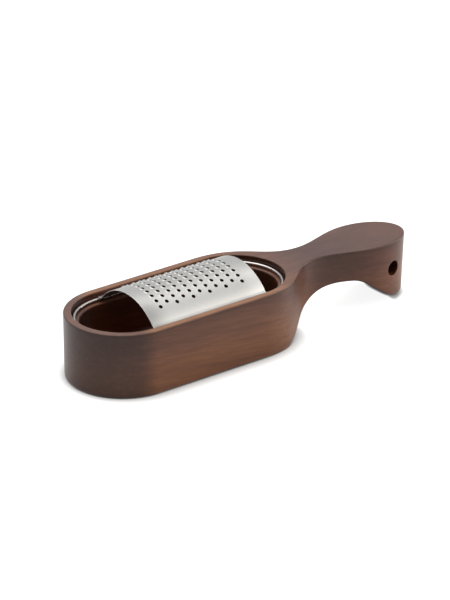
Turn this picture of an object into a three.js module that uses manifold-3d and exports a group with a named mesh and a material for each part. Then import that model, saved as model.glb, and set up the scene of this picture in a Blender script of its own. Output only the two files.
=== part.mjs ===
// Hand cheese grater with its own catch trough.
//
// One carved hardwood body makes the trough, the handle and the foot at the
// handle's end. A stainless insert lies in a recess round the trough's rim: a
// closed ring of round wire with a perforated, arched grating sheet welded on
// its two long sides. The insert lifts straight out to empty the trough.
//
// Millimetres. +X runs along the trough towards the handle, +Z is up, and the
// origin is the middle of the part's footprint on the table.

import * as THREE from 'three';
import { mergeGeometries, mergeVertices } from 'three/addons/utils/BufferGeometryUtils.js';
import Module from 'manifold-3d';

// Trough: an oval with straight sides and half-round ends.
const bodyHeight = 47;
const troughWidth = 82;
const troughStraight = 93.6;
const rimWall = 5.5;
const recessDepth = 6.4;
const ledgeWidth = 5.5;
const floorThickness = 8;
const cavityFloorRound = 6;
const topEdgeRound = 1;
const baseEdgeRound = 1.2;

// Handle, seen from above: the trough's side draws in to a narrow neck, swells
// to a wide palm and ends in half an ellipse. The pulls are the two ends'
// tangent lengths of each curve.
const shoulderLead = 5.3;
const shoulderLength = 69.7;
const shoulderPullShares = [0.572, 0.397];
const neckWidth = 24.2;
const neckToPalm = 49.3;
const swellPullShares = [0.313, 0.381];
const palmWidth = 46.2;
const handleEndLength = 34.6;

// The handle's top droops towards its end, and its end wall leans in.
const handleDroop = 1.2;
const handleEndLean = 2.8;

// Hollow under the handle for the fingers, and the foot that it leaves. The
// foot's edge on the table is rounded far more than the trough's.
const gripThickness = 21.7;
const footLength = 18.5;
const footRoundReach = 7.5;
const footRoundRise = 4;
const hollowUndercut = 15.1;
const hollowFrontAngle = 32.6;
const hollowBackAngle = 51.1;
const hollowPeakShare = 0.567;
const hollowFrontPullShares = [0.234, 0.262];
const hollowBackPullShares = [0.198, 0.04];

// Hanging hole, drilled across the handle's end.
const hangingHoleDiameter = 11;
const hangingHoleFromEnd = 22.8;
const hangingHoleFromTop = 21.3;

// Wire ring, lying on the ledge.
const wireDiameter = 2.6;
const ringSideClearance = 0.6;
const seatGap = 0.3;

// Grating sheet: an arch with a flared foot along each side.
const sheetThickness = 0.8;
const archAboveRim = 11.7;
const archLength = 95.2;
const archTowardsHandle = 3.3;
const footFlareRadius = 4;
const footLanding = 1.8;
const footPastWire = 0.6;

// Grating holes, in columns across the arch, each second column half a pitch
// lower, with a raised cutting lip on the trough end's side of each hole.
const columnCount = 11;
const longColumnHoles = 9;
const columnPitch = 6.9;
const holePitch = 5.52;
const gratingHoleDiameter = 2.4;
const toothLength = 3;
const toothWidth = 3;
const toothHeight = 0.9;
const toothOverhang = 0.5;
const toothRoot = 0.4;
const toothShoulderShare = 0.62;
const toothShoulderHeightShare = 0.66;

// How far a cutter runs past the face that it cuts.
const cutOverrun = 2;

const wood = new THREE.MeshStandardMaterial({ color: 0x6e4a3a, roughness: 0.5, metalness: 0 });
const wireSteel = new THREE.MeshStandardMaterial({ color: 0xc9c7c4, roughness: 0.25, metalness: 1 });
const sheetSteel = new THREE.MeshStandardMaterial({ color: 0xc4c3c0, roughness: 0.35, metalness: 1 });

// Sizes that follow from those above.
const endRadius = troughWidth / 2;
const recessRadius = endRadius - rimWall;
const cavityRadius = recessRadius - ledgeWidth;
const ledgeZ = bodyHeight - recessDepth;
const neckHalf = neckWidth / 2;
const palmHalf = palmWidth / 2;
const sideStraight = troughStraight - shoulderLead;
const bodyLength = endRadius + sideStraight + shoulderLength + neckToPalm + handleEndLength;

const outerEndX = -bodyLength / 2 + endRadius;
const innerEndX = outerEndX + troughStraight;
const shoulderX = outerEndX + sideStraight;
const neckX = shoulderX + shoulderLength;
const palmX = neckX + neckToPalm;
const handleEndX = palmX + handleEndLength;

const wireRadius = wireDiameter / 2;
const ringRadius = recessRadius - ringSideClearance - wireRadius;
const ringZ = ledgeZ + seatGap + wireRadius;

const wasm = await Module();
wasm.setup();

// Booleans: a closed geometry becomes a solid and comes back again.
function toSolid(geometry) {
  const bare = geometry.index ? geometry.clone() : mergeVertices(geometry.clone());
  bare.deleteAttribute('normal');
  bare.deleteAttribute('uv');
  const merged = mergeVertices(bare);
  return new wasm.Manifold(new wasm.Mesh({
    numProp: 3,
    vertProperties: new Float32Array(merged.attributes.position.array),
    triVerts: new Uint32Array(merged.index.array),
  }));
}

function toGeometry(solid) {
  const mesh = solid.getMesh();
  const geometry = new THREE.BufferGeometry();
  const position = new Float32Array(mesh.numVert * 3);
  for (let vertex = 0; vertex < mesh.numVert; vertex += 1) {
    for (let axis = 0; axis < 3; axis += 1) {
      position[vertex * 3 + axis] = mesh.vertProperties[vertex * mesh.numProp + axis];
    }
  }
  geometry.setAttribute('position', new THREE.BufferAttribute(position, 3));
  geometry.setIndex(new THREE.BufferAttribute(new Uint32Array(mesh.triVerts), 1));
  geometry.computeVertexNormals();
  return geometry;
}

function indexedGeometry(position, index) {
  const geometry = new THREE.BufferGeometry();
  geometry.setAttribute('position', new THREE.Float32BufferAttribute(position, 3));
  geometry.setIndex(index);
  geometry.computeVertexNormals();
  return geometry;
}

// Points of an arc about a centre, angles in radians, both ends included.
function arcPoints(centreX, centreY, radius, from, to, steps) {
  const points = [];
  for (let step = 0; step <= steps; step += 1) {
    const angle = from + (to - from) * (step / steps);
    points.push(new THREE.Vector2(
      centreX + radius * Math.cos(angle),
      centreY + radius * Math.sin(angle),
    ));
  }
  return points;
}

// The oval that the trough's recess, cavity and wire ring all follow.
function ovalPoints(radius, stepsPerEnd) {
  const quarter = Math.PI / 2;
  return [
    ...arcPoints(outerEndX, 0, radius, quarter, 3 * quarter, stepsPerEnd),
    ...arcPoints(innerEndX, 0, radius, -quarter, quarter, stepsPerEnd),
  ];
}

// A smooth curve between two points that leaves and arrives at given slopes.
// The pulls are how far its tangents reach, as vectors.
function easeCurve(start, startPull, end, endPull) {
  return new THREE.CubicBezierCurve(
    start,
    start.clone().add(startPull),
    end.clone().sub(endPull),
    end,
  );
}

// A curve that leaves one width and reaches the next, level at both ends.
function sideCurve(startX, startY, endX, endY, pullShares) {
  const pulls = pullShares.map((share) => new THREE.Vector2(share * (endX - startX), 0));
  return easeCurve(new THREE.Vector2(startX, startY), pulls[0], new THREE.Vector2(endX, endY), pulls[1]);
}

// Near half of the body's outline from above, from the trough's outer end to
// the handle's end: end arc, shoulder, swell to the palm, half an ellipse.
function nearOutline() {
  const shoulder = sideCurve(shoulderX, -endRadius, neckX, -neckHalf, shoulderPullShares);
  const swell = sideCurve(neckX, -neckHalf, palmX, -palmHalf, swellPullShares);
  const handleEnd = arcPoints(0, 0, 1, -Math.PI / 2, 0, 12).slice(1);
  handleEnd[handleEnd.length - 1].y = 0;
  return [
    ...arcPoints(outerEndX, 0, endRadius, -Math.PI, -Math.PI / 2, 14),
    ...shoulder.getPoints(16),
    ...swell.getPoints(10).slice(1),
    ...handleEnd.map((unit) => new THREE.Vector2(palmX + handleEndLength * unit.x, palmHalf * unit.y)),
  ];
}

// Adds the faces between two rings of points, the first ring counterclockwise
// as seen from the second.
function addBand(index, first, second, count) {
  for (let here = 0; here < count; here += 1) {
    const next = (here + 1) % count;
    index.push(first + here, first + next, second + next);
    index.push(first + here, second + next, second + here);
  }
}

// The edge on the table at a point of the outline: small along the trough, and
// growing along the handle to the foot's.
function baseRounding(x) {
  const share = THREE.MathUtils.smoothstep(x, neckX, palmX);
  return {
    reach: THREE.MathUtils.lerp(baseEdgeRound, footRoundReach, share),
    rise: THREE.MathUtils.lerp(baseEdgeRound, footRoundRise, share),
  };
}

// Moves a point of the upright blank for the handle's droop and its end's lean.
function shapeHandle(x, y, z) {
  const height = z / bodyHeight;
  const endShare = THREE.MathUtils.clamp((x - palmX) / handleEndLength, 0, 1);
  const droopShare = THREE.MathUtils.clamp((x - neckX) / (handleEndX - neckX), 0, 1);
  return [x - handleEndLean * endShare * (1 - height), y, z - handleDroop * droopShare * height];
}

// The outline raised to the body's height in rings, with rounded edges. Both
// caps are strips between the near and the far side.
function bodyBlank() {
  const near = nearOutline();
  const far = near.slice(1, -1).reverse().map((point) => new THREE.Vector2(point.x, -point.y));
  const outline = [...near, ...far];
  const count = outline.length;
  const outward = outline.map((point, place) => {
    const before = outline[(place + count - 1) % count];
    const after = outline[(place + 1) % count];
    return new THREE.Vector2(after.y - before.y, before.x - after.x).normalize();
  });

  const position = [];
  const addRing = (insetAt, heightAt) => outline.forEach((point, place) => {
    const inset = insetAt(point.x);
    position.push(...shapeHandle(
      point.x - outward[place].x * inset,
      point.y - outward[place].y * inset,
      heightAt(point.x),
    ));
  });
  const turns = [0, 1, 2, 3].map((step) => (Math.PI / 2) * (step / 3));
  for (const turn of turns) {
    addRing(
      (x) => baseRounding(x).reach * (1 - Math.sin(turn)),
      (x) => baseRounding(x).rise * (1 - Math.cos(turn)),
    );
  }
  for (const turn of turns) {
    addRing(
      () => topEdgeRound * (1 - Math.cos(turn)),
      () => bodyHeight - topEdgeRound * (1 - Math.sin(turn)),
    );
  }

  const index = [];
  const topRing = position.length / 3 - count;
  for (let ring = 0; ring < topRing; ring += count) addBand(index, ring, ring + count, count);
  for (let here = 0; here < near.length - 1; here += 1) {
    const next = here + 1;
    const nextAcross = (count - next) % count;
    const hereAcross = (count - here) % count;
    const corners = [[here, next, nextAcross], [here, nextAcross, hereAcross]];
    for (const [a, b, c] of corners.filter((corner) => new Set(corner).size === 3)) {
      index.push(topRing + a, topRing + b, topRing + c);
      index.push(a, c, b);
    }
  }
  return indexedGeometry(position, index);
}

// The finger hollow seen from the side, from the trough's base over a crown and
// down to the foot's front edge, as two smooth curves.
function hollowPoints(steps) {
  const start = new THREE.Vector2(innerEndX + endRadius - hollowUndercut, 0);
  const end = new THREE.Vector2(handleEndX - footLength, 0);
  const span = end.x - start.x;
  const crown = new THREE.Vector2(start.x + span * hollowPeakShare, bodyHeight - gripThickness);
  const pull = (share, degrees) => {
    const angle = THREE.MathUtils.degToRad(degrees);
    return new THREE.Vector2(Math.cos(angle), Math.sin(angle)).multiplyScalar(span * share);
  };
  const [startPull, crownPull] = hollowFrontPullShares;
  const [crownBackPull, endPull] = hollowBackPullShares;
  const rise = easeCurve(start, pull(startPull, hollowFrontAngle), crown, pull(crownPull, 0));
  const fall = easeCurve(crown, pull(crownBackPull, 0), end, pull(endPull, -hollowBackAngle));
  return [...rise.getPoints(steps), ...fall.getPoints(steps).slice(1)];
}

function hollowCutter() {
  const curve = hollowPoints(12);
  const first = curve[0];
  const last = curve[curve.length - 1];
  const shape = new THREE.Shape([
    new THREE.Vector2(first.x, -cutOverrun),
    ...curve,
    new THREE.Vector2(last.x, -cutOverrun),
  ]);
  const width = troughWidth + 2 * cutOverrun;
  const cutter = new THREE.ExtrudeGeometry(shape, { depth: width, bevelEnabled: false });
  cutter.rotateX(Math.PI / 2);
  cutter.translate(0, width / 2, 0);
  return cutter;
}

function recessCutter() {
  const cutter = new THREE.ExtrudeGeometry(new THREE.Shape(ovalPoints(recessRadius, 24)), {
    depth: recessDepth + cutOverrun,
    bevelEnabled: false,
  });
  cutter.translate(0, 0, ledgeZ);
  return cutter;
}

// The cavity's cutter has a round nose, which leaves a coved edge at the floor.
function cavityCutter() {
  const cutter = new THREE.ExtrudeGeometry(new THREE.Shape(ovalPoints(cavityRadius, 24)), {
    depth: ledgeZ + cutOverrun - floorThickness - cavityFloorRound,
    bevelEnabled: true,
    bevelThickness: cavityFloorRound,
    bevelSize: cavityFloorRound,
    bevelOffset: -cavityFloorRound,
    bevelSegments: 3,
  });
  cutter.translate(0, 0, floorThickness + cavityFloorRound);
  return cutter;
}

function hangingHoleCutter() {
  const radius = hangingHoleDiameter / 2;
  const cutter = new THREE.CylinderGeometry(radius, radius, palmWidth + 2 * cutOverrun, 24);
  cutter.translate(handleEndX - hangingHoleFromEnd, 0, bodyHeight - hangingHoleFromTop);
  return cutter;
}

function woodBody() {
  const cutters = [hollowCutter(), recessCutter(), cavityCutter(), hangingHoleCutter()];
  let solid = toSolid(bodyBlank());
  for (const cutter of cutters) solid = solid.subtract(toSolid(cutter));
  return toGeometry(solid);
}

// A closed ring: a round section carried once along the trough's oval.
function wireRing() {
  const sides = 10;
  const path = ovalPoints(ringRadius, 20);
  const position = [];
  const index = [];
  path.forEach((point, station) => {
    const centreX = Math.min(Math.max(point.x, outerEndX), innerEndX);
    const outward = new THREE.Vector2(point.x - centreX, point.y).normalize();
    for (let side = 0; side < sides; side += 1) {
      const angle = (2 * Math.PI * side) / sides;
      const reach = wireRadius * Math.cos(angle);
      position.push(
        point.x + outward.x * reach,
        point.y + outward.y * reach,
        ringZ + wireRadius * Math.sin(angle),
      );
    }
    addBand(index, ((station + 1) % path.length) * sides, station * sides, sides);
  });
  return indexedGeometry(position, index);
}

// The arch is a circle through the crown that the two flares touch. The flares
// come down on the wire's inner half.
const archCrownZ = bodyHeight + archAboveRim;
const footZ = ringZ + wireRadius + seatGap + sheetThickness;
const flareY = ringRadius - footLanding;
const flareZ = footZ + footFlareRadius;
const flareToCrown = archCrownZ - flareZ;
const archRadius = (flareY ** 2 + flareToCrown ** 2 - footFlareRadius ** 2)
  / (2 * (flareToCrown + footFlareRadius));
const archCentreZ = archCrownZ - archRadius;
const archMidX = (outerEndX + innerEndX) / 2 + archTowardsHandle;

// Half of the sheet's section from its crown to the edge of one flared foot,
// on the outer face (inset 0) or the inner face (inset of the thickness). The
// foot's underside lies on the wire, with the seat gap between them.
function sheetSection(inset) {
  const meet = Math.atan2(flareZ - archCentreZ, flareY);
  const top = Math.PI / 2;
  return [
    ...arcPoints(0, archCentreZ, archRadius - inset, top, meet, 14),
    ...arcPoints(flareY, flareZ, footFlareRadius + inset, meet - Math.PI, -top, 4).slice(1),
    new THREE.Vector2(ringRadius + footPastWire, footZ - inset),
  ];
}

function bentSheet() {
  const mirror = (points) => points.slice(1).map((point) => new THREE.Vector2(-point.x, point.y));
  const outer = sheetSection(0);
  const inner = sheetSection(sheetThickness);
  const shape = new THREE.Shape([
    ...outer.slice().reverse(),
    ...mirror(outer),
    ...mirror(inner).reverse(),
    ...inner,
  ]);
  const sheet = new THREE.ExtrudeGeometry(shape, { depth: archLength, bevelEnabled: false });
  const turn = new THREE.Matrix4().makeBasis(
    new THREE.Vector3(0, 1, 0),
    new THREE.Vector3(0, 0, 1),
    new THREE.Vector3(1, 0, 0),
  );
  sheet.applyMatrix4(turn);
  sheet.translate(archMidX - archLength / 2, 0, 0);
  return sheet;
}

// Where each grating hole sits: its place along X and its angle from the crown.
function holePlaces() {
  const places = [];
  for (let column = 0; column < columnCount; column += 1) {
    const holes = longColumnHoles - (column % 2);
    const x = archMidX + (column - (columnCount - 1) / 2) * columnPitch;
    for (let hole = 0; hole < holes; hole += 1) {
      places.push({ x, angle: ((hole - (holes - 1) / 2) * holePitch) / archRadius });
    }
  }
  return places;
}

// Carries a shape made flat at the crown, with Z out of the sheet, to one hole.
function placeOnArch(geometry, place) {
  const placed = geometry.clone();
  placed.translate(0, 0, archRadius);
  placed.rotateX(-place.angle);
  placed.translate(place.x, 0, archCentreZ);
  return placed;
}

// A raised lip: a half cone that climbs from a point to its cutting edge, which
// stands over the hole.
function tooth() {
  const half = toothWidth / 2;
  const edgeX = -gratingHoleDiameter / 2 + toothOverhang;
  const rearX = edgeX - toothLength;
  const shoulder = half * toothShoulderShare;
  const shoulderZ = toothHeight * toothShoulderHeightShare;
  const corners = [
    [rearX, 0, -toothRoot],
    [edgeX, -half, -toothRoot],
    [edgeX, -shoulder, shoulderZ],
    [edgeX, 0, toothHeight],
    [edgeX, shoulder, shoulderZ],
    [edgeX, half, -toothRoot],
  ];
  return indexedGeometry(corners.flat(), [
    0, 1, 2, 0, 2, 3, 0, 3, 4, 0, 4, 5, 0, 5, 1,
    1, 3, 2, 1, 5, 3, 5, 4, 3,
  ]);
}

function holeDrill() {
  const radius = gratingHoleDiameter / 2;
  const drill = new THREE.CylinderGeometry(radius, radius, sheetThickness + 2 * cutOverrun, 8);
  drill.rotateX(Math.PI / 2);
  drill.translate(0, 0, -sheetThickness / 2);
  return mergeVertices(drill.deleteAttribute('normal').deleteAttribute('uv'));
}

function gratingSheet() {
  const places = holePlaces();
  const allOf = (geometry) => toSolid(mergeGeometries(places.map((place) => placeOnArch(geometry, place))));
  return toGeometry(toSolid(bentSheet()).subtract(allOf(holeDrill())).add(allOf(tooth())));
}

function namedMesh(name, geometry, material) {
  const mesh = new THREE.Mesh(geometry, material);
  mesh.name = name;
  return mesh;
}

const insert = new THREE.Group();
insert.add(namedMesh('wire_ring', wireRing(), wireSteel));
insert.add(namedMesh('grating_sheet', gratingSheet(), sheetSteel));

const grater = new THREE.Group();
grater.add(namedMesh('wood_body', woodBody(), wood));
grater.add(insert);

export default grater;
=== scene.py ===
"""Hand cheese grater: a carved hardwood trough with a handle, and a lift-out steel insert.

Metres. +X runs along the trough towards the handle, and +Z is up from the table.
"""

from bisect import bisect_left
from math import atan2, cos, pi, radians, sin, sqrt

import bmesh
import bpy
from mathutils import Matrix, Vector
from mathutils.geometry import interpolate_bezier


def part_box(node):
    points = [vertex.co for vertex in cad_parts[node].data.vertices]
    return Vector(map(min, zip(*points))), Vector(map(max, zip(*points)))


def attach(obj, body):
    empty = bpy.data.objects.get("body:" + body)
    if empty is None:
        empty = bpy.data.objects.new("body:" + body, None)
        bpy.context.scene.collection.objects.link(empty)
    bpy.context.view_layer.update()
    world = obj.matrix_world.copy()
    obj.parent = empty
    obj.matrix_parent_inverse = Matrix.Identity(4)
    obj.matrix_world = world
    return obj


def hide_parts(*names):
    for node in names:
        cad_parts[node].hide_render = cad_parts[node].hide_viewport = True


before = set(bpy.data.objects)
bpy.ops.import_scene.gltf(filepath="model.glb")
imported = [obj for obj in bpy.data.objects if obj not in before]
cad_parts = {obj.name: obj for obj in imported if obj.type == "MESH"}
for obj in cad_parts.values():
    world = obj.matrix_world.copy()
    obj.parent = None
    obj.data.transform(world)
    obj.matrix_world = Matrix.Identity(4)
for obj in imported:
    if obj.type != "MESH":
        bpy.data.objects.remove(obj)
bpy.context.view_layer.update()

scene = bpy.context.scene
scene.view_settings.view_transform = "Standard"


# Camera. A long lens looks down on the near side of the trough's outer end, so
# that the handle runs away to the right.
view_turn = radians(37.24)
view_drop = radians(24.41)
view_roll = radians(-0.28)
view_distance = 2.3946
look_at = Vector((0.02604, 0.05356, 0.0))
lens_mm = 201.84

forward = Vector((
    sin(view_turn) * cos(view_drop),
    cos(view_turn) * cos(view_drop),
    -sin(view_drop),
))
level_right = forward.cross(Vector((0, 0, 1))).normalized()
level_up = level_right.cross(forward)
camera_right = cos(view_roll) * level_right + sin(view_roll) * level_up
camera_up = cos(view_roll) * level_up - sin(view_roll) * level_right

camera_data = bpy.data.cameras.new("camera")
camera_data.lens = lens_mm
camera_data.clip_end = 20
camera = bpy.data.objects.new("camera", camera_data)
camera.matrix_world = Matrix.Translation(look_at - forward * view_distance) @ Matrix(
    (camera_right, camera_up, -forward)
).transposed().to_4x4()
scene.collection.objects.link(camera)
scene.camera = camera


# Studio. A white table under a large soft light overhead, with a key light from the
# front right, a lower light from the right, and a dim white room all round.
def add_node(tree, kind, inputs=None, **settings):
    """One node with its modes set. An input is given a value or another node's socket."""
    node = tree.nodes.new(kind)
    for name, value in settings.items():
        setattr(node, name, value)
    for key, value in (inputs or {}).items():
        if isinstance(value, bpy.types.NodeSocket):
            tree.links.new(value, node.inputs[key])
        else:
            node.inputs[key].default_value = value
    return node


def add_math(tree, operation, first, second=0.0, third=0.0):
    """The result of a Math node on two or three values or sockets."""
    inputs = {0: first, 1: second, 2: third}
    return add_node(tree, "ShaderNodeMath", inputs, operation=operation).outputs[0]


def ramp(tree, value, low, high, first=0.0, last=1.0, curve="SMOOTHSTEP"):
    """Goes from first where the value is low to last where it is high. Low may be the larger."""
    return add_node(tree, "ShaderNodeMapRange", {
        "Value": value, "From Min": low, "From Max": high, "To Min": first, "To Max": last,
    }, interpolation_type=curve).outputs[0]


def new_shader(name):
    """An empty material, its tree and its output node."""
    made = bpy.data.materials.new(name)
    made.use_nodes = True
    made.node_tree.nodes.clear()
    return made, made.node_tree, made.node_tree.nodes.new("ShaderNodeOutputMaterial")


def seen_directly(tree, to_eye, in_mirror):
    """A strength for rays that see the backdrop itself: in the view, or in a reflection."""
    path = add_node(tree, "ShaderNodeLightPath")
    mirrored = add_math(
        tree, "MAXIMUM", path.outputs["Is Glossy Ray"], path.outputs["Is Transmission Ray"]
    )
    reflected = add_math(tree, "MULTIPLY", mirrored, in_mirror)
    return add_math(tree, "MULTIPLY_ADD", path.outputs["Is Camera Ray"], to_eye, reflected)


def table_material():
    """Pale paper that shows white to the eye, with a painted contact shadow where the object stands
    close to it.
    """
    paper, glow, mirrored_glow = (0.5, 0.5, 0.5, 1), 0.90, 0.70
    end_reach, mirrored_reach, painted_shadow_depth = 0.005, 0.05, 1.7
    more_at_trough, less_at_neck, more_at_foot = 0.008, -0.011, 0.0022
    made, tree, output = new_shader("white_table")
    diffuse = add_node(tree, "ShaderNodeBsdfDiffuse", {"Color": paper})
    place = add_node(tree, "ShaderNodeTexCoord").outputs["Object"]
    axes = add_node(tree, "ShaderNodeSeparateXYZ", {0: place}).outputs
    across_foot = add_math(tree, "SUBTRACT", axes["X"], axes["Y"])
    # How far the painted contact shadow reaches: further beside the trough, less under the neck, a
    # little more round the foot.
    reach = end_reach
    for value, start, end, change in (
        (axes["X"], -0.150, -0.105, more_at_trough),
        (axes["X"], 0.030, 0.080, less_at_neck),
        (across_foot, 0.134, 0.142, more_at_foot),
    ):
        step = ramp(tree, value, start, end, last=change, curve="LINEAR")
        reach = add_math(tree, "ADD", reach, step)
    painted_contact_shadow = add_node(tree, "ShaderNodeAmbientOcclusion", {"Distance": reach}, samples=16)
    depth = add_math(tree, "POWER", painted_contact_shadow.outputs["AO"], painted_shadow_depth)
    # Painted shade where the table is seen in reflections near the object.
    painted_mirror_shade = add_node(tree, "ShaderNodeAmbientOcclusion", {"Distance": mirrored_reach}, samples=16)
    shown = seen_directly(
        tree, add_math(tree, "MULTIPLY", depth, glow),
        add_math(tree, "MULTIPLY", painted_mirror_shade.outputs["AO"], mirrored_glow),
    )
    lift = add_node(tree, "ShaderNodeEmission", {"Strength": shown})
    both = add_node(tree, "ShaderNodeAddShader", {0: diffuse.outputs[0], 1: lift.outputs[0]})
    tree.links.new(both.outputs[0], output.inputs["Surface"])
    return made


table_half = 4.0
table_drop = 0.0001
table_mesh = bpy.data.meshes.new("table")
table_mesh.from_pydata(
    [(x * table_half, y * table_half, -table_drop) for x, y in ((-1, -1), (1, -1), (1, 1), (-1, 1))],
    [], [(0, 1, 2, 3)],
)
table_mesh.materials.append(table_material())
table = bpy.data.objects.new("table", table_mesh)
scene.collection.objects.link(table)


def soft_light(name, side, watts, place, aim, colour):
    """A square area light that faces a point."""
    data = bpy.data.lights.new(name, "AREA")
    data.color = colour
    data.size = side
    data.energy = watts
    light = bpy.data.objects.new(name, data)
    light.location = place
    light.rotation_euler = (Vector(aim) - Vector(place)).to_track_quat("-Z", "Y").to_euler()
    scene.collection.objects.link(light)


soft_light("overhead", 3.2, 66, (-0.4, 0.5, 2.3), (0, 0, 0), (1.0, 0.99, 0.97))
soft_light("key", 3.0, 51, (2.3, -2.0, 1.2), (0, 0, 0.02), (1.0, 0.96, 0.91))
soft_light("right", 1.6, 32, (3.1, -0.9, 0.7), (0, 0, 0.02), (1.0, 0.97, 0.93))

world = bpy.data.worlds.new("studio")
scene.world = world
world.use_nodes = True
world_tree = world.node_tree
world_tree.nodes.clear()
room_light, mirrored_room, room_colour = 0.10, 0.90, (0.93, 0.97, 1.0, 1)
shown_room = seen_directly(world_tree, 1 - room_light, mirrored_room - room_light)
background = add_node(world_tree, "ShaderNodeBackground", {
    "Color": room_colour, "Strength": add_math(world_tree, "ADD", shown_room, room_light),
})
world_output = add_node(world_tree, "ShaderNodeOutputWorld")
world_tree.links.new(background.outputs[0], world_output.inputs["Surface"])


# Wooden body. One block of dark hardwood, band-sawn and carved to trough, neck,
# palm and foot, routed out for the trough, sanded and oiled.
body_low, body_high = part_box("wood_body")
end_radius = body_high.y
body_top = body_high.z
trough_straight = 0.0936
shoulder_back = 0.0053
shoulder_to_neck = 0.0697
neck_to_palm = 0.0493
handle_end_length = 0.0346
outer_end_x = body_low.x + end_radius
inner_end_x = outer_end_x + trough_straight
shoulder_x = inner_end_x - shoulder_back
neck_x = shoulder_x + shoulder_to_neck
palm_x = neck_x + neck_to_palm
handle_end_x = palm_x + handle_end_length
neck_half = 0.0121
palm_half = 0.0231
handle_droop = 0.0012
handle_lean = 0.0028

# The finger hollow, cut from below the trough's inner end to the foot.
hollow_overlap = 0.0206
foot_length = 0.0159
grip_x = 0.0774
grip_thickness = 0.0225
hollow_start = Vector((inner_end_x + end_radius - hollow_overlap, 0))
hollow_end = Vector((handle_end_x - foot_length, 0))
hollow_crown = Vector((grip_x, body_top - grip_thickness))

# The trough, with a recess and a ledge for the ring, and the radii of all roundings.
recess_radius = 0.0355
recess_depth = 0.0064
cavity_radius = 0.030
ledge_z = body_top - recess_depth
floor_z = 0.008
cove = 0.006
rim_round = 0.0010
recess_round = 0.0007
ledge_round = 0.0015
base_round = 0.0012
trough_round = 0.0024
support_row = 0.0004


def eased(value, low, high):
    """Rises smoothly from 0 at low to 1 at high."""
    share = min(max((value - low) / (high - low), 0), 1)
    return share * share * (3 - 2 * share)


def curve_between(start, start_pull, end, end_pull, steps):
    """Points of a smooth curve that leaves its start and meets its end along two pulls."""
    return interpolate_bezier(start, start + start_pull, end - end_pull, end, steps + 1)


def arc(centre, radius, first, last, steps):
    """Points of a circle between two angles."""
    angles = [first + (last - first) * step / steps for step in range(steps + 1)]
    return [Vector((centre.x + radius * cos(a), centre.y + radius * sin(a))) for a in angles]


def quarter_turn(steps):
    """Angles in even steps from 0 to a quarter turn."""
    return [step / steps * pi / 2 for step in range(steps + 1)]


def near_outline():
    """The near half of the body from above, from the outer end to the handle's end."""
    shoulder = Vector((shoulder_x, -end_radius))
    neck = Vector((neck_x, -neck_half))
    palm = Vector((palm_x, -palm_half))
    leave_shoulder, meet_neck = Vector((0.0430, 0)), Vector((0.0285, 0))
    leave_neck, meet_palm = Vector((0.0154, 0)), Vector((0.0188, 0))
    end = [
        Vector((palm_x + handle_end_length * p.x, palm_half * p.y))
        for p in arc(Vector((0, 0)), 1, -pi / 2, 0, 60)
    ]
    end[-1].y = 0
    return [
        *arc(Vector((outer_end_x, 0)), end_radius, -pi, -pi / 2, 80),
        *curve_between(shoulder, leave_shoulder, neck, meet_neck, 90),
        *curve_between(neck, leave_neck, palm, meet_palm, 50)[1:],
        *end[1:],
    ]


def hollow_profile():
    """The finger hollow from the side: it rises from the table to the grip, and falls to the foot."""
    front_slope, back_slope = radians(21.1), radians(30)
    leave_table = Vector((cos(front_slope), sin(front_slope))) * 0.0336
    meet_grip, leave_grip = Vector((0.0253, 0)), Vector((0.0191, 0))
    meet_foot = Vector((cos(back_slope), -sin(back_slope))) * 0.0419
    rise = curve_between(hollow_start, leave_table, hollow_crown, meet_grip, 60)
    fall = curve_between(hollow_crown, leave_grip, hollow_end, meet_foot, 60)
    return rise + fall[1:]


hollow = hollow_profile()
hollow_xs = [point.x for point in hollow]


def underside(x):
    """The height of the body's underside: the table, or the finger hollow's surface."""
    if not hollow_start.x < x < hollow_end.x:
        return 0.0
    after = bisect_left(hollow_xs, x)
    low, high = hollow[after - 1], hollow[after]
    return low.y + (high.y - low.y) * (x - low.x) / (high.x - low.x)


def base_rounding(x):
    """How far the lower edge is drawn in, and how high its rounding goes: more under the foot."""
    blend_length, foot_inset, foot_height, tip_relief = 0.020, 0.0145, 0.0037, 0.0115
    foot_start, foot_full, tip_start, tip_full = 0.0052, 0.0208, 0.0222, 0.0302
    blend = eased(x, shoulder_x, shoulder_x + blend_length)
    rounding = trough_round + (base_round - trough_round) * blend
    foot = eased(x, palm_x + foot_start, palm_x + foot_full)
    tip = eased(x, palm_x + tip_start, palm_x + tip_full)
    return rounding + foot_inset * foot - tip_relief * tip, rounding + foot_height * foot


def shape_handle(x, y, z):
    """Adds the handle's droop and the lean of its end wall."""
    height = z / body_top
    end_share = min(max((x - palm_x) / handle_end_length, 0), 1)
    droop_share = min(max((x - neck_x) / (handle_end_x - neck_x), 0), 1)
    return Vector((
        x - handle_lean * end_share * (1 - height),
        y,
        z - handle_droop * droop_share * height,
    ))


def body_rings():
    """Rings round the outside, from just inside the underside to just inside the top."""
    near = near_outline()
    outline = near + [Vector((p.x, -p.y)) for p in reversed(near[1:-1])]
    outward = []
    for place in range(len(outline)):
        along = outline[(place + 1) % len(outline)] - outline[place - 1]
        outward.append(Vector((along.y, -along.x)).normalized())

    def ring(inset_at, height_at):
        """The outline drawn in, at a height, where both may change along it."""
        points = []
        for point, out in zip(outline, outward):
            flat = point - out * inset_at(point.x)
            points.append(shape_handle(flat.x, flat.y, height_at(flat.x)))
        return points

    turns = quarter_turn(8)
    rings = [ring(lambda x: base_rounding(x)[0] + support_row, underside)]
    for turn in turns:
        rings.append(ring(
            lambda x: base_rounding(x)[0] * (1 - sin(turn)),
            lambda x: underside(x) + base_rounding(x)[1] * (1 - cos(turn)),
        ))
    wall_rows = 16
    for row in range(1, wall_rows):
        share = row / wall_rows
        rings.append(ring(
            lambda x: 0,
            lambda x: (underside(x) + base_rounding(x)[1]) * (1 - share)
            + (body_top - rim_round) * share,
        ))
    for turn in turns:
        rings.append(ring(
            lambda x: rim_round * (1 - cos(turn)),
            lambda x: body_top - rim_round * (1 - sin(turn)),
        ))
    rings.append(ring(lambda x: rim_round + support_row, lambda x: body_top))
    return rings, len(near)


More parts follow.
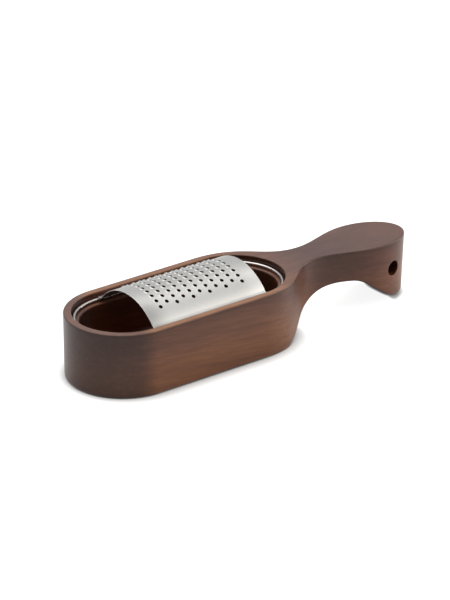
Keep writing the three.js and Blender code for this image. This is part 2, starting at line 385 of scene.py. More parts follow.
def oval_ring(radius, height):
    """A ring round the trough's oval: two half circles joined by straight sides."""
    steps = 60
    ends = ((outer_end_x, pi / 2), (inner_end_x, -pi / 2))
    return [
        Vector((p.x, p.y, height))
        for x, first in ends
        for p in arc(Vector((x, 0)), radius, first, first + pi, steps)
    ]


def trough_rings():
    """Rings from the rim's top down the recess, over the ledge and down to the floor."""
    turns = quarter_turn(6)
    profile = [(recess_radius + recess_round + support_row, body_top)]
    profile += [
        (recess_radius + recess_round * (1 - sin(t)), body_top - recess_round * (1 - cos(t)))
        for t in turns
    ]
    profile += [
        (recess_radius - recess_round * (1 - cos(t)), ledge_z + recess_round * (1 - sin(t)))
        for t in turns
    ]
    profile.append((recess_radius - recess_round - support_row, ledge_z))
    profile.append((cavity_radius + ledge_round + support_row, ledge_z))
    profile += [
        (cavity_radius + ledge_round * (1 - sin(t)), ledge_z - ledge_round * (1 - cos(t)))
        for t in turns
    ]
    profile += [(cavity_radius - cove * (1 - cos(t)), floor_z + cove * (1 - sin(t))) for t in turns]
    profile.append((cavity_radius - cove - support_row, floor_z))
    return [oval_ring(radius, height) for radius, height in profile]


def join_rings(mesh, rings):
    """Lofts faces between closed rings of equal counts and returns their vertices."""
    made = [[mesh.verts.new(point) for point in ring] for ring in rings]
    for lower, upper in zip(made, made[1:]):
        for here in range(len(lower)):
            after = (here + 1) % len(lower)
            mesh.faces.new((lower[here], lower[after], upper[after], upper[here]))
    return made


def mesh_object(name, mesh, *materials):
    """Turns a bmesh into a smooth object in the scene."""
    for face in mesh.faces:
        face.smooth = True
    data = bpy.data.meshes.new(name)
    mesh.to_mesh(data)
    mesh.free()
    for each in materials:
        data.materials.append(each)
    made = bpy.data.objects.new(name, data)
    scene.collection.objects.link(made)
    return made


def carved_block():
    """The body as one closed mesh, with its trough and still without its hanging hole."""
    mesh = bmesh.new()
    rings, near_count = body_rings()
    outside = join_rings(mesh, rings)
    inside = join_rings(mesh, trough_rings())

    under = outside[0]
    for here in range(near_count - 1):
        corners = [under[here], under[here + 1], under[-here - 1], under[-here]]
        mesh.faces.new(list(dict.fromkeys(corners)))
    mesh.faces.new(inside[-1])

    def edges_of(ring):
        """The edges along a closed ring of vertices."""
        return [mesh.edges.get((ring[here - 1], ring[here])) for here in range(len(ring))]

    bmesh.ops.triangle_fill(
        mesh, use_beauty=True, normal=(0, 0, 1), edges=edges_of(outside[-1]) + edges_of(inside[0])
    )
    bmesh.ops.recalc_face_normals(mesh, faces=mesh.faces)
    return mesh


def side_at(x, z):
    """Half the handle's width where a point of its end wall is."""
    height = z / body_top
    share = (x - palm_x) / handle_end_length
    share += handle_lean / handle_end_length * share * (1 - height)
    return palm_half * sqrt(max(0, 1 - max(share, 0) ** 2))


hole_from_end, hole_from_top, hole_radius = 0.0228, 0.0213, 0.0055
hole_x, hole_z = handle_end_x - hole_from_end, body_top - hole_from_top


def hole_cutter():
    """The hanging hole's drill, flared where it leaves each side so that its mouth is round."""
    mouth, overrun, corners = 0.0004, 0.003, 64
    profile = [(hole_radius + mouth, -overrun)]
    profile += [
        (hole_radius + mouth * (1 - sin(t)), mouth * (1 - cos(t))) for t in quarter_turn(5)
    ]

    def ring(side, radius, depth):
        """A ring of the drill at a depth below the handle's near or far side."""
        points = []
        for step in range(corners):
            angle = 2 * pi * step / corners
            x, z = hole_x + radius * cos(angle), hole_z + radius * sin(angle)
            points.append(Vector((x, side * (side_at(x, z) - depth), z)))
        return points

    mesh = bmesh.new()
    near = [ring(-1, radius, depth) for radius, depth in profile]
    far = [ring(1, radius, depth) for radius, depth in reversed(profile)]
    made = join_rings(mesh, near + far)
    mesh.faces.new(made[0])
    mesh.faces.new(made[-1])
    bmesh.ops.recalc_face_normals(mesh, faces=mesh.faces)
    return mesh


def settle(made):
    """Replaces an object's mesh by what its modifiers make of it, and removes them."""
    ready = made.evaluated_get(bpy.context.evaluated_depsgraph_get())
    data = bpy.data.meshes.new_from_object(ready)
    made.modifiers.clear()
    made.data = data


def colour_stops(tree, value, low, high, colours):
    """A run of colours, each at its own place between low and high."""
    share = ramp(tree, value, low, high, curve="LINEAR")
    node = add_node(tree, "ShaderNodeValToRGB", {"Fac": share})
    marks = node.color_ramp.elements
    while len(marks) < len(colours):
        marks.new(1.0)
    for mark, (at, colour) in zip(marks, colours):
        mark.position = (at - low) / (high - low)
        mark.color = colour
    return node.outputs["Color"]


def tinted(tree, colour, tint, factor=1.0):
    """A colour multiplied by a tint, in part or in full."""
    return add_node(tree, "ShaderNodeMix", {
        "Factor": factor, 6: colour, 7: tint,
    }, data_type="RGBA", blend_type="MULTIPLY").outputs[2]


def all_of(tree, *masks):
    """The product of some masks, which is 1 only where all of them are."""
    product = masks[0]
    for mask in masks[1:]:
        product = add_math(tree, "MULTIPLY", product, mask)
    return product


def distance(tree, **parts):
    """The length of a vector with these parts."""
    vector = add_node(tree, "ShaderNodeCombineXYZ", parts).outputs[0]
    return add_node(tree, "ShaderNodeVectorMath", {0: vector}, operation="LENGTH").outputs["Value"]


def spine_distance(tree, axes):
    """How far a point is from the line that joins the centres of the trough's round ends."""
    nearest = add_node(tree, "ShaderNodeClamp", {
        "Value": axes["X"], "Min": outer_end_x, "Max": inner_end_x,
    }).outputs[0]
    return distance(tree, X=add_math(tree, "SUBTRACT", axes["X"], nearest), Y=axes["Y"])


def wood_noise(tree, place, size, detail, roughness=0.5):
    """Noise whose marks have this size along X, Y and Z, and run with the board's slope."""
    grain_slope = radians(7)
    laid = add_node(tree, "ShaderNodeMapping", {
        "Vector": place, "Rotation": (0, grain_slope, 0), "Scale": size,
    }, vector_type="TEXTURE")
    return add_node(tree, "ShaderNodeTexNoise", {
        "Vector": laid.outputs[0], "Scale": 1, "Detail": detail, "Roughness": roughness,
    }).outputs["Fac"]


def board_grain(tree, place, axes, fibre):
    """The board's figure: patches, streaks, growth bands and fibre, all drawn out along it."""
    dark, mid, light = (0.135, 0.051, 0.023, 1), (0.205, 0.086, 0.039, 1), (0.310, 0.142, 0.066, 1)
    bands_across, bands_up, band_sway = 60, 150, 4
    patches = wood_noise(tree, place, (0.11, 0.030, 0.016), 2)
    streaks = wood_noise(tree, place, (0.034, 0.0036, 0.0026), 3, 0.6)
    sway = wood_noise(tree, place, (0.2, 0.07, 0.07), 1)
    rows = add_math(tree, "MULTIPLY", axes["Z"], bands_up)
    rows = add_math(tree, "MULTIPLY_ADD", axes["Y"], bands_across, rows)
    growth = add_math(tree, "FRACT", add_math(tree, "MULTIPLY_ADD", sway, band_sway, rows))
    band = ramp(tree, growth, 0.0, 0.9, 0.56, 0.44)
    figure = add_math(tree, "MULTIPLY", patches, 0.34)
    for layer, weight in ((streaks, 0.32), (fibre, 0.22), (band, 0.12)):
        figure = add_math(tree, "MULTIPLY_ADD", layer, weight, figure)
    return colour_stops(tree, figure, 0.3, 0.7, [(0.34, dark), (0.50, mid), (0.66, light)])


def board_tone_and_painted_shading(tree, axes, colour):
    """Darkens the board in its neck and palm, paints shade on its outer end, and paints light low on
    its sides.
    """
    as_it_is = (1, 1, 1, 1)
    # Painted shade at the outer end; the neck and palm stops are the board's own tone.
    along = colour_stops(tree, axes["X"], body_low.x, body_high.x, [
        (-0.114, (0.60, 0.61, 0.82, 1)), (-0.104, as_it_is), (0.008, as_it_is),
        (0.058, (0.42, 0.39, 0.49, 1)), (0.130, (0.65, 0.57, 0.585, 1)),
    ])
    # Painted light low on the sides, and darker towards the top.
    up = colour_stops(tree, axes["Z"], 0, body_top, [
        (0.0, (1.30, 1.17, 0.95, 1)), (0.018, (1.55, 1.44, 1.25, 1)),
        (0.032, (1.06, 0.99, 1.08, 1)), (0.043, (0.86, 0.80, 0.90, 1)),
        (body_top, (0.86, 0.83, 0.98, 1)),
    ])
    return tinted(tree, tinted(tree, colour, along), up)


def painted_top_light(tree, axes, colour):
    """Lightens the trough's top with painted light: less past its middle and over end grain."""
    top_light_tint, far_share = (1.72, 1.92, 1.66, 1), 0.55
    full, none, over_end_grain = (1, 1, 1, 1), (0, 0, 0, 1), (0.7, 0.7, 0.7, 1)
    top = body_top - 0.0012, body_top - 0.0003
    along = colour_stops(tree, axes["X"], body_low.x, body_high.x, [
        (-0.114, over_end_grain), (-0.104, full), (-0.02, full), (0.03, none),
    ])
    across = ramp(tree, axes["Y"], 0.0, recess_radius, 1.0, far_share)
    return tinted(tree, colour, top_light_tint, all_of(tree, ramp(tree, axes["Z"], *top), along, across))


def painted_hollow_shade(tree, axes, away, colour):
    """Darkens the routed hollow with painted shade, more so deep down, but not on the ledge that
    carries the ring.
    """
    hollow_shade_tint, deep_shade_tint = (0.66, 0.56, 0.52, 1), (0.62, 0.50, 0.46, 1)
    inside = recess_radius + 0.0008, recess_radius - 0.0002
    below_top = body_top - 0.0002, body_top - 0.0015
    from_ledge = ledge_z - 0.0018, ledge_z - 0.0006
    to_ledge = ledge_z + 0.0008, ledge_z + 0.0002
    well_below = ledge_z - 0.001, ledge_z - 0.010
    height = axes["Z"]
    routed = all_of(tree, ramp(tree, away, *inside), ramp(tree, height, *below_top))
    ledge_band = all_of(tree, ramp(tree, height, *from_ledge), ramp(tree, height, *to_ledge))
    hollow_shade = all_of(tree, routed, add_math(tree, "SUBTRACT", 1, ledge_band))
    deep = all_of(tree, hollow_shade, ramp(tree, height, *well_below))
    return tinted(tree, tinted(tree, colour, hollow_shade_tint, hollow_shade), deep_shade_tint, deep)


def painted_arris_shade(tree, axes, facing, away, colour):
    """Darkens the outer arris along the top with painted shade, where its rounding turns from the
    light.
    """
    arris_shade_tint = (0.72, 0.67, 0.66, 1)
    outermost = end_radius - 0.0025, end_radius - 0.0012
    uppermost = body_top - 0.0030, body_top - 0.0012
    rounded = 0.97, 0.8
    droop = ramp(tree, axes["X"], neck_x, handle_end_x, last=handle_droop, curve="LINEAR")
    level = add_math(tree, "ADD", axes["Z"], droop)
    arris = all_of(
        tree, ramp(tree, away, *outermost), ramp(tree, level, *uppermost),
        ramp(tree, facing["Z"], *rounded),
    )
    return tinted(tree, colour, arris_shade_tint, arris)


def painted_side_shade(tree, axes, facing, colour):
    """Darkens with painted shade the trough's upright sides, the hanging hole's bore and, most, the
    underside.
    """
    side_shade_tint, underside_shade_tint, bore_shade_tint = (
        (0.72, 0.69, 0.71, 1), (0.24, 0.20, 0.18, 1), (0.75, 0.70, 0.66, 1)
    )
    past_outer_end = outer_end_x - 0.085, outer_end_x - 0.010
    before_handle = 0.045, 0.015
    upright, downward = (0.8, 0.4), (-0.50, -0.80)
    bore_edge = hole_radius + 0.0004, hole_radius
    side = all_of(
        tree, ramp(tree, axes["X"], *past_outer_end), ramp(tree, axes["X"], *before_handle),
        ramp(tree, add_math(tree, "ABSOLUTE", facing["Z"]), *upright),
    )
    colour = tinted(tree, colour, side_shade_tint, side)
    colour = tinted(tree, colour, underside_shade_tint, ramp(tree, facing["Z"], *downward))
    from_bore = distance(
        tree, X=add_math(tree, "SUBTRACT", axes["X"], hole_x),
        Z=add_math(tree, "SUBTRACT", axes["Z"], hole_z),
    )
    return tinted(tree, colour, bore_shade_tint, ramp(tree, from_bore, *bore_edge))


def end_grain_and_painted_shade(tree, facing):
    """How dark the end grain shows: the oil it drinks, and painted shade on faces turned from the
    light, most of all at the trough's outer end.
    """
    outer_end, handle_end = (
        add_math(tree, "MAXIMUM", add_math(tree, "MULTIPLY", facing["X"], share), 0)
        for share in (-0.5, 0.1)
    )
    return add_math(tree, "ADD", outer_end, handle_end)


def wood_material():
    """Dark hardwood finished with oil: fibre and soft streaks along X, faint growth bands, open
    pores.
    """
    pore_colour, pore_share, pore_edge = (0.02, 0.009, 0.006, 1), 0.4, (0.66, 0.76)
    fibre_height, relief, roughness, fibre_roughness = 0.35, 0.0001, 0.25, 0.16
    made, tree, output = new_shader("dark_hardwood")
    place_node = add_node(tree, "ShaderNodeTexCoord")
    place = place_node.outputs["Object"]
    axes = add_node(tree, "ShaderNodeSeparateXYZ", {0: place}).outputs
    facing = add_node(tree, "ShaderNodeSeparateXYZ", {0: place_node.outputs["Normal"]}).outputs
    away = spine_distance(tree, axes)
    fibre = wood_noise(tree, place, (0.014, 0.0008, 0.0008), 3, 0.6)
    pores = ramp(tree, wood_noise(tree, place, (0.005, 0.00025, 0.00025), 2), *pore_edge)

    colour = board_tone_and_painted_shading(tree, axes, board_grain(tree, place, axes, fibre))
    colour = painted_top_light(tree, axes, colour)
    colour = painted_hollow_shade(tree, axes, away, colour)
    colour = painted_arris_shade(tree, axes, facing, away, colour)
    colour = painted_side_shade(tree, axes, facing, colour)
    open_pores = add_math(tree, "MULTIPLY", pores, pore_share)
    shade = add_math(tree, "MAXIMUM", end_grain_and_painted_shade(tree, facing), open_pores)
    shaded = add_node(tree, "ShaderNodeMix", {
        "Factor": shade, 6: colour, 7: pore_colour,
    }, data_type="RGBA").outputs[2]

    height = add_math(tree, "SUBTRACT", add_math(tree, "MULTIPLY", fibre, fibre_height), pores)
    bump = add_node(tree, "ShaderNodeBump", {"Height": height, "Strength": 0.35, "Distance": relief})
    surface = add_node(tree, "ShaderNodeBsdfPrincipled", {
        "Base Color": shaded, "Specular IOR Level": 0.37, "Normal": bump.outputs[0],
        "Roughness": add_math(tree, "MULTIPLY_ADD", fibre, fibre_roughness, roughness),
    })
    tree.links.new(surface.outputs[0], output.inputs["Surface"])
    return made


wood = wood_material()
body = mesh_object("carved_body", carved_block(), wood)
drill = mesh_object("hanging_hole_drill", hole_cutter(), wood)
hole = body.modifiers.new("hanging_hole", "BOOLEAN")
hole.operation = "DIFFERENCE"
hole.solver = "EXACT"
hole.object = drill
settle(body)
bpy.data.objects.remove(drill)
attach(body, "body")
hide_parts("wood_body")


# Wire ring. Round stainless wire bent to the recess's oval, butt-welded shut and
# polished. It lies on the ledge and carries the grating sheet.
def new_tree(name, sizes):
    """A geometry tree with named inputs, the sockets of its input node, and its output node."""
    tree = bpy.data.node_groups.new(name, "GeometryNodeTree")
    tree.interface.new_socket("Geometry", in_out="OUTPUT", socket_type="NodeSocketGeometry")
    for label, kind in sizes.items():
        tree.interface.new_socket(label, in_out="INPUT", socket_type=kind)
    return tree, tree.nodes.new("NodeGroupInput").outputs, tree.nodes.new("NodeGroupOutput")


def grow(name, tree, values):
    """Runs a geometry tree on a new object and keeps the mesh that it makes."""
    made = bpy.data.objects.new(name, bpy.data.meshes.new(name))
    scene.collection.objects.link(made)
    modifier = made.modifiers.new(tree.name, "NODES")
    modifier.node_group = tree
    for item in tree.interface.items_tree:
        if item.in_out == "INPUT":
            modifier[item.identifier] = values[item.name]
    settle(made)
    return made


def finish_tree(tree, output, geometry, material):
    """Ends a tree in real, smooth geometry with one material."""
    real = add_node(tree, "GeometryNodeRealizeInstances", {0: geometry})
    smooth = add_node(tree, "GeometryNodeSetShadeSmooth", {"Geometry": real.outputs[0]})
    coated = add_node(
        tree, "GeometryNodeSetMaterial", {"Geometry": smooth.outputs[0], "Material": material}
    )
    tree.links.new(coated.outputs[0], output.inputs[0])


def drawn_steel_group():
    """Fine lines left by drawing or brushing, as a height and a roughness, and a soft cloud."""
    group = bpy.data.node_groups.new("drawn_lines", "ShaderNodeTree")
    for label, kind in (
        ("Place", "NodeSocketVector"), ("Lines", "NodeSocketVector"),
        ("Least Roughness", "NodeSocketFloat"), ("Roughness Change", "NodeSocketFloat"),
    ):
        group.interface.new_socket(label, in_out="INPUT", socket_type=kind)
    for label in ("Height", "Roughness", "Cloud"):
        group.interface.new_socket(label, in_out="OUTPUT", socket_type="NodeSocketFloat")
    given, out = group.nodes.new("NodeGroupInput"), group.nodes.new("NodeGroupOutput")
    stretched = add_node(group, "ShaderNodeVectorMath", {
        0: given.outputs["Place"], 1: given.outputs["Lines"],
    }, operation="MULTIPLY")
    lines = add_node(group, "ShaderNodeTexNoise", {
        "Vector": stretched.outputs[0], "Scale": 1, "Detail": 3, "Roughness": 0.6,
    }).outputs["Fac"]
    cloud = add_node(group, "ShaderNodeTexNoise", {
        "Vector": given.outputs["Place"], "Scale": 70, "Detail": 3,
    }).outputs["Fac"]
    rougher = add_math(
        group, "MULTIPLY_ADD", lines, given.outputs["Roughness Change"],
        given.outputs["Least Roughness"],
    )
    group.links.new(lines, out.inputs["Height"])
    group.links.new(rougher, out.inputs["Roughness"])
    group.links.new(cloud, out.inputs["Cloud"])
    return group


drawn_lines = drawn_steel_group()


def steel_material(name, colour, lines, roughness, change, depth, painted_shading=None):
    """Stainless steel with drawn lines at their own scale, and painted shade and light that may
    change over it.
    """
    cloud_shade = 0.93
    made, tree, output = new_shader(name)
    place = add_node(tree, "ShaderNodeTexCoord").outputs["Object"]
    drawn = add_node(tree, "ShaderNodeGroup", node_tree=drawn_lines)
    tree.links.new(place, drawn.inputs["Place"])
    drawn.inputs["Lines"].default_value = lines
    drawn.inputs["Least Roughness"].default_value = roughness
    drawn.inputs["Roughness Change"].default_value = change
    bump = add_node(tree, "ShaderNodeBump", {
        "Height": drawn.outputs["Height"], "Strength": 0.4, "Distance": depth,
    })
    duller = tuple(cloud_shade * part for part in colour[:3]) + (1,)
    toned = add_node(tree, "ShaderNodeMix", {
        "Factor": drawn.outputs["Cloud"], 6: colour, 7: duller,
    }, data_type="RGBA").outputs[2]
    if painted_shading:
        toned = add_node(tree, "ShaderNodeVectorMath", {
            0: toned, "Scale": painted_shading(tree, place),
        }, operation="SCALE").outputs[0]
    surface = add_node(tree, "ShaderNodeBsdfPrincipled", {
        "Base Color": toned, "Metallic": 1, "Roughness": drawn.outputs["Roughness"],
        "Normal": bump.outputs[0],
    })
    tree.links.new(surface.outputs[0], output.inputs["Surface"])
    return made


wire_radius = 0.00115
ring_low, ring_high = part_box("wire_ring")
ring_z = ring_low.z + wire_radius
ring_radius = ring_high.y - (ring_high.z - ring_low.z) / 2
polished_wire = steel_material(
    "polished_wire", (0.47, 0.435, 0.415, 1), (700, 700, 2200), 0.22, 0.08, 0.00002
)


def ring_tree():
    """A round wire swept along an oval, and closed where its two ends meet."""
    seam = 0.00002
    tree, given, output = new_tree("Wire Ring", {
        "Ring Radius": "NodeSocketFloat", "Straight": "NodeSocketFloat",
        "Wire Radius": "NodeSocketFloat", "Middle": "NodeSocketVector",
        "Material": "NodeSocketMaterial",
    })
    width = add_math(tree, "MULTIPLY", given["Ring Radius"], 2)
    length = add_math(tree, "ADD", width, given["Straight"])
    box = add_node(tree, "GeometryNodeCurvePrimitiveQuadrilateral", {0: length, 1: width})
    oval = add_node(tree, "GeometryNodeFilletCurve", {
        "Curve": box.outputs[0], "Radius": given["Ring Radius"], "Count": 60,
    }, mode="POLY")
    section = add_node(tree, "GeometryNodeCurvePrimitiveCircle", {
        "Resolution": 24, "Radius": given["Wire Radius"],
    })
    wire = add_node(tree, "GeometryNodeCurveToMesh", {
        "Curve": oval.outputs[0], "Profile Curve": section.outputs[0],
    })
    merged = add_node(tree, "GeometryNodeMergeByDistance", {0: wire.outputs[0], "Distance": seam})
    placed = add_node(tree, "GeometryNodeTransform", {
        "Geometry": merged.outputs[0], "Translation": given["Middle"],
    })
    finish_tree(tree, output, placed.outputs[0], given["Material"])
    return tree


wire = grow("wire_ring_polished", ring_tree(), {
    "Ring Radius": ring_radius,
    "Straight": ring_high.x - ring_low.x - 2 * ring_high.y,
    "Wire Radius": wire_radius,
    "Middle": Vector(((ring_low.x + ring_high.x) / 2, 0, ring_z)),
    "Material": polished_wire,
})
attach(wire, "insert")
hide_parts("wire_ring")


# Grating sheet. Stainless sheet, punched so that each hole has a raised lip on
# its outer side, bent to an arch and flared along both sides onto the wire.
sheet_low, sheet_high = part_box("grating_sheet")
sheet_length = sheet_high.x - sheet_low.x
sheet_mid_x = (sheet_high.x + sheet_low.x) / 2
sheet_thickness = 0.0006
tooth_allowance = 0.0009
crown_z = sheet_high.z - tooth_allowance
flare_radius = 0.0018
edge_inset = 0.0006
edge_width = 0.0020
foot_top_z = sheet_low.z + sheet_thickness
foot_edge_y = ring_radius - edge_inset
flare_y = foot_edge_y - edge_width

# The punched field: eleven columns, each second one shifted by half a hole pitch.
cells_across_column, cells_per_hole = 10, 8
columns, long_column_holes = 11, 9
length_cells, flank_cells = 138, 19
cell_x = sheet_length / length_cells
column_pitch = cells_across_column * cell_x
hole_pitch = 0.00552
cell_y = hole_pitch / cells_per_hole
punch_radius = 0.00145
lip_height = 0.00038


def section_points():
    """The outer face's section from the near foot's edge over the crown to the far foot's."""
    flare_z = foot_top_z + flare_radius
    fall = crown_z - flare_z
    radius = (flare_y ** 2 + fall ** 2 - flare_radius ** 2) / (2 * (fall + flare_radius))
    meet = atan2(flare_z - crown_z + radius, flare_y)
    arch = arc(Vector((0, crown_z - radius)), radius, pi / 2, meet, 80)
    flare = arc(Vector((flare_y, flare_z)), flare_radius, meet - pi, -pi / 2, 16)
    half = arch + flare[1:] + [Vector((foot_edge_y, foot_top_z))]
    return [Vector((-p.x, p.y)) for p in reversed(half[1:])] + half


def section_curve():
    """The section as a curve in the YZ plane, and its length."""
    points = section_points()
    data = bpy.data.curves.new("sheet_section", "CURVE")
    data.dimensions = "3D"
    line = data.splines.new("POLY")
    line.points.add(len(points) - 1)
    for knot, point in zip(line.points, points):
        knot.co = (0, point.x, point.y, 1)
    made = bpy.data.objects.new("sheet_section", data)
    scene.collection.objects.link(made)
    return made, sum((b - a).length for a, b in zip(points, points[1:]))


def punched_tile():
    """One hole's cell of flat sheet: rings of points from the cell's border in to the hole."""
    lip_reach, lip_curve, lip_from, lip_full = 0.42, 1.2, -0.1, 0.75
    half_x, half_y = column_pitch / 2, hole_pitch / 2
    border = [Vector((-half_x + i * cell_x, -half_y)) for i in range(cells_across_column)]
    border += [Vector((half_x, -half_y + i * cell_y)) for i in range(cells_per_hole)]
    border += [Vector((half_x - i * cell_x, half_y)) for i in range(cells_across_column)]
    border += [Vector((-half_x, half_y - i * cell_y)) for i in range(cells_per_hole)]
    mesh = bmesh.new()
    rings = []
    for share in (1.0, 0.7, lip_reach, 0.28, 0.16, 0.07, 0.0):
        ring = []
        for corner in border:
            angle = atan2(corner.y / half_y, corner.x / half_x)
            edge = Vector((punch_radius * cos(angle), punch_radius * sin(angle)))
            flat = edge.lerp(corner, share)
            lifted = eased(-cos(angle), lip_from, lip_full)
            slope = max(0.0, 1 - share / lip_reach) ** lip_curve
            ring.append(Vector((flat.x, flat.y, lip_height * lifted * slope)))
        rings.append(ring)
    join_rings(mesh, rings)
    return mesh_object("punched_tile", mesh)


def sheet_tree():
    """A flat blank joined from plain cells and punched tiles, then bent to its section."""
    near_lip, far_lip, lip_span = 0.10, 1.9, 0.9
    tree, given, output = new_tree("Punched Sheet", {
        "Tile": "NodeSocketObject", "Section": "NodeSocketObject",
        "Length": "NodeSocketFloat", "Middle X": "NodeSocketFloat",
        "Column Pitch": "NodeSocketFloat", "Hole Pitch": "NodeSocketFloat",
        "Columns": "NodeSocketInt", "Long Column Holes": "NodeSocketInt",
        "Length Cells": "NodeSocketInt", "Flank Cells": "NodeSocketInt",
        "Cells Per Hole": "NodeSocketInt", "Section Length": "NodeSocketFloat",
        "Material": "NodeSocketMaterial",
    })

    def calc(operation, *values):
        """The result of a Math node in this tree."""
        return add_math(tree, operation, *values)

    place = add_node(tree, "GeometryNodeInputPosition").outputs[0]
    flat = add_node(tree, "ShaderNodeSeparateXYZ", {0: place}).outputs
    from_middle = calc("ABSOLUTE", flat["Y"])
    along_columns = calc("DIVIDE", flat["X"], given["Column Pitch"])
    half_pitch = calc("MULTIPLY", given["Hole Pitch"], 0.5)
    field_half = calc("MULTIPLY", half_pitch, given["Long Column Holes"])
    row_cells = calc("MULTIPLY", given["Cells Per Hole"], given["Long Column Holes"])
    all_rows = calc("MULTIPLY_ADD", given["Flank Cells"], 2, row_cells)
    cell = calc("DIVIDE", given["Hole Pitch"], given["Cells Per Hole"])

    # Plain sheet in small cells, without the cells that the tiles fill.
    plain = add_node(tree, "GeometryNodeMeshGrid", {
        "Size X": given["Length"], "Size Y": calc("MULTIPLY", all_rows, cell),
        "Vertices X": calc("ADD", given["Length Cells"], 1), "Vertices Y": calc("ADD", all_rows, 1),
    })
    column = calc("FLOOR", calc("MULTIPLY_ADD", given["Columns"], 0.5, along_columns))
    in_columns = calc("MULTIPLY", calc("GREATER_THAN", column, -0.5),
                      calc("LESS_THAN", column, given["Columns"]))
    short = calc("MODULO", calc("ABSOLUTE", column), 2)
    column_half = calc("SUBTRACT", field_half, calc("MULTIPLY", short, half_pitch))
    punched = calc("MULTIPLY", in_columns, calc("LESS_THAN", from_middle, column_half))
    kept = add_node(tree, "GeometryNodeDeleteGeometry", {
        0: plain.outputs[0], "Selection": punched,
    }, domain="FACE", mode="ALL")

    # A tile at each hole: a grid of places, whose second columns move half a pitch.
    last_column = calc("SUBTRACT", given["Columns"], 1)
    last_hole = calc("SUBTRACT", given["Long Column Holes"], 1)
    lattice = add_node(tree, "GeometryNodeMeshGrid", {
        "Size X": calc("MULTIPLY", last_column, given["Column Pitch"]),
        "Size Y": calc("MULTIPLY", last_hole, given["Hole Pitch"]),
        "Vertices X": given["Columns"], "Vertices Y": given["Long Column Holes"],
    })
    lattice_column = calc("ROUND", calc("MULTIPLY_ADD", last_column, 0.5, along_columns))
    shift = add_node(tree, "ShaderNodeCombineXYZ", {
        "Y": calc("MULTIPLY", calc("MODULO", lattice_column, 2), half_pitch),
    })
    staggered = add_node(tree, "GeometryNodeSetPosition", {
        "Geometry": lattice.outputs[0], "Offset": shift.outputs[0],
    })
    last_place = calc("SUBTRACT", field_half, calc("MULTIPLY", half_pitch, 0.5))
    places = add_node(tree, "GeometryNodeDeleteGeometry", {
        0: staggered.outputs[0], "Selection": calc("GREATER_THAN", flat["Y"], last_place),
    }, domain="POINT", mode="ALL")
    tile = add_node(tree, "GeometryNodeObjectInfo", {"Object": given["Tile"]})
    tiles = add_node(tree, "GeometryNodeInstanceOnPoints", {
        "Points": places.outputs[0], "Instance": tile.outputs["Geometry"],
    })
    real = add_node(tree, "GeometryNodeRealizeInstances", {0: tiles.outputs[0]})
    joined = add_node(tree, "GeometryNodeJoinGeometry")
    tree.links.new(kept.outputs[0], joined.inputs[0])
    tree.links.new(real.outputs[0], joined.inputs[0])
    welded = add_node(tree, "GeometryNodeMergeByDistance", {
        0: joined.outputs[0], "Distance": calc("MULTIPLY", cell, 0.1),
    })

    # Bending: Y runs along the section from its middle, and height stays along its normal.
    beyond = calc("MAXIMUM", calc("SUBTRACT", from_middle, field_half), 0)
    flank = calc("MULTIPLY", given["Flank Cells"], cell)
    half_section = calc("MULTIPLY", given["Section Length"], 0.5)
    stretch = calc("DIVIDE", calc("SUBTRACT", half_section, field_half), flank)
    inner = calc("MINIMUM", from_middle, field_half)
    along = calc("MULTIPLY", calc("MULTIPLY_ADD", beyond, stretch, inner), calc("SIGN", flat["Y"]))
    section = add_node(tree, "GeometryNodeObjectInfo", {"Object": given["Section"]})
    point = add_node(tree, "GeometryNodeSampleCurve", {
        "Curves": section.outputs["Geometry"], "Length": calc("ADD", along, half_section),
    }, mode="LENGTH")
    upward = add_node(tree, "ShaderNodeVectorMath", {
        0: (1, 0, 0), 1: point.outputs["Tangent"],
    }, operation="CROSS_PRODUCT")

    # The lips grow from the near flank, where they are lowest, to the far one.
    across_field = calc("DIVIDE", flat["Y"], field_half)
    lip_growth = ramp(tree, across_field, -lip_span, lip_span, near_lip, far_lip)
    raised = add_node(tree, "ShaderNodeVectorMath", {
        0: upward.outputs[0], "Scale": calc("MULTIPLY", flat["Z"], lip_growth),
    }, operation="SCALE")
    on_section = add_node(tree, "ShaderNodeVectorMath", {
        0: point.outputs["Position"], 1: raised.outputs[0],
    }, operation="ADD")
    sideways = add_node(tree, "ShaderNodeCombineXYZ", {
        "X": calc("ADD", flat["X"], given["Middle X"]),
    })
    bent = add_node(tree, "ShaderNodeVectorMath", {
        0: on_section.outputs[0], 1: sideways.outputs[0],
    }, operation="ADD")
    arched = add_node(tree, "GeometryNodeSetPosition", {
        "Geometry": welded.outputs[0], "Position": bent.outputs[0],
    })
    finish_tree(tree, output, arched.outputs[0], given["Material"])
    return tree


def thin_out_round_holes(made):
    """Weights the sheet's thickness down towards each hole, where punching has drawn it thin."""
    shares = (0.25, 0.4, 0.65)
    mesh = bmesh.new()
    mesh.from_mesh(made.data)
    weights = {}
    ring = {
        vert.index for vert in mesh.verts
        if vert.is_boundary and sheet_low.x + cell_x < vert.co.x < sheet_high.x - cell_x
        and abs(vert.co.y) < flare_y - cell_y
    }
    mesh.verts.ensure_lookup_table()
    for share in shares:
        weights.update({index: share for index in ring if index not in weights})
        ring = {
            edge.other_vert(mesh.verts[index]).index
            for index in ring for edge in mesh.verts[index].link_edges
        } - weights.keys()
    mesh.free()
    group = made.vertex_groups.new(name="full_thickness")
    for vert in made.data.vertices:
        group.add([vert.index], weights.get(vert.index, 1.0), "REPLACE")


def dress_edges(made):
    """Rounds the sheet's two cut ends, and marks its other corners as sharp."""
    corner, end_round, near = radians(50), 0.00022, 0.00005
    mesh = bmesh.new()
    mesh.from_mesh(made.data)
    ends = [
        edge for edge in mesh.edges
        if edge.calc_face_angle(0) > corner and all(
            min(vert.co.x - sheet_low.x, sheet_high.x - vert.co.x) < near for vert in edge.verts
        )
    ]
    bmesh.ops.bevel(mesh, geom=ends, offset=end_round, segments=2, profile=0.5, affect="EDGES")
    for edge in mesh.edges:
        edge.smooth = edge.calc_face_angle(0) < corner
    mesh.to_mesh(made.data)
    mesh.free()


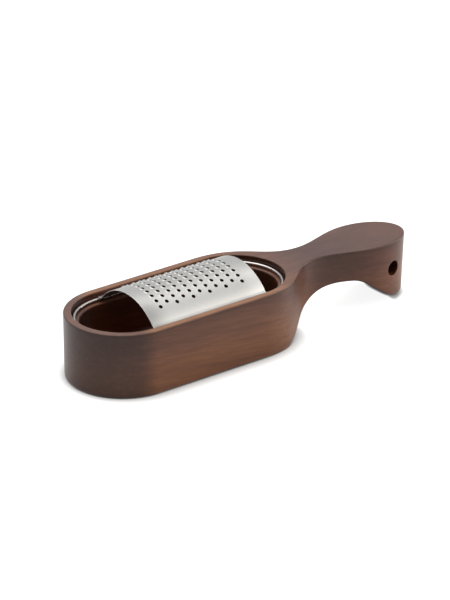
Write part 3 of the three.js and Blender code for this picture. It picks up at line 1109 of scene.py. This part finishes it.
def sheet_painted_shading(tree, place):
    """Painted shade on the flanks at the outer end, and painted light on them at the other end."""
    outer_painted_shade, inner_painted_light, reach = -0.34, 0.22, 0.018
    flank_height = crown_z - 0.001, crown_z - 0.005
    axes = add_node(tree, "ShaderNodeSeparateXYZ", {0: place}).outputs
    outer = ramp(tree, axes["X"], sheet_low.x + reach, sheet_low.x, last=outer_painted_shade)
    inner = ramp(tree, axes["X"], sheet_high.x - reach, sheet_high.x, last=inner_painted_light)
    ends = add_math(tree, "ADD", outer, inner)
    return add_math(tree, "MULTIPLY_ADD", ends, ramp(tree, axes["Z"], *flank_height), 1.0)


satin_sheet = steel_material(
    "satin_sheet", (0.457, 0.443, 0.422, 1), (1800, 160, 160), 0.34, 0.12, 0.00002, sheet_painted_shading
)
tile = punched_tile()
section, section_length = section_curve()
sheet = grow("punched_sheet", sheet_tree(), {
    "Tile": tile, "Section": section, "Length": sheet_length, "Middle X": sheet_mid_x,
    "Column Pitch": column_pitch, "Hole Pitch": hole_pitch,
    "Columns": columns, "Long Column Holes": long_column_holes,
    "Length Cells": length_cells, "Flank Cells": flank_cells, "Cells Per Hole": cells_per_hole,
    "Section Length": section_length, "Material": satin_sheet,
})
bpy.data.objects.remove(tile)
bpy.data.objects.remove(section)
thin_out_round_holes(sheet)
thickness = sheet.modifiers.new("sheet_thickness", "SOLIDIFY")
thickness.thickness = sheet_thickness
thickness.offset = -1
thickness.vertex_group = "full_thickness"
settle(sheet)
dress_edges(sheet)
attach(sheet, "insert")
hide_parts("grating_sheet")


# Spot welds. Flat nuggets of melted steel where the sheet's feet were welded down
# onto the wire, a few along each side.
def weld_tree():
    """Two rows of flattened balls, one along each foot of the sheet."""
    tree, given, output = new_tree("Spot Welds", {
        "Row Length": "NodeSocketFloat", "Row Distance": "NodeSocketFloat",
        "Welds": "NodeSocketInt", "Nugget": "NodeSocketVector", "Middle": "NodeSocketVector",
        "Material": "NodeSocketMaterial",
    })
    places = add_node(tree, "GeometryNodeMeshGrid", {
        "Size X": given["Row Length"], "Size Y": given["Row Distance"],
        "Vertices X": given["Welds"], "Vertices Y": 2,
    })
    ball = add_node(tree, "GeometryNodeMeshIcoSphere", {"Radius": 1.0, "Subdivisions": 3})
    nuggets = add_node(tree, "GeometryNodeInstanceOnPoints", {
        "Points": places.outputs[0], "Instance": ball.outputs[0], "Scale": given["Nugget"],
    })
    placed = add_node(tree, "GeometryNodeTransform", {
        "Geometry": nuggets.outputs[0], "Translation": given["Middle"],
    })
    finish_tree(tree, output, placed.outputs[0], given["Material"])
    return tree


weld_steel = steel_material(
    "weld_steel", (0.42, 0.40, 0.37, 1), (900, 900, 900), 0.34, 0.22, 0.00004
)
welds_each_side = 5
weld_margin = 0.008
weld_inset = 0.0006
weld_half_length, weld_half_width, weld_sink = 0.0016, 0.0007, 0.0001
weld_half_height = (sheet_low.z - ring_z - wire_radius) / 2
welds = grow("spot_welds", weld_tree(), {
    "Row Length": sheet_length - 2 * weld_margin, "Row Distance": 2 * ring_radius - weld_inset,
    "Welds": welds_each_side,
    "Nugget": Vector((weld_half_length, weld_half_width, weld_half_height + weld_sink)),
    "Middle": Vector((sheet_mid_x, 0, sheet_low.z - weld_half_height)),
    "Material": weld_steel,
})
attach(welds, "insert")
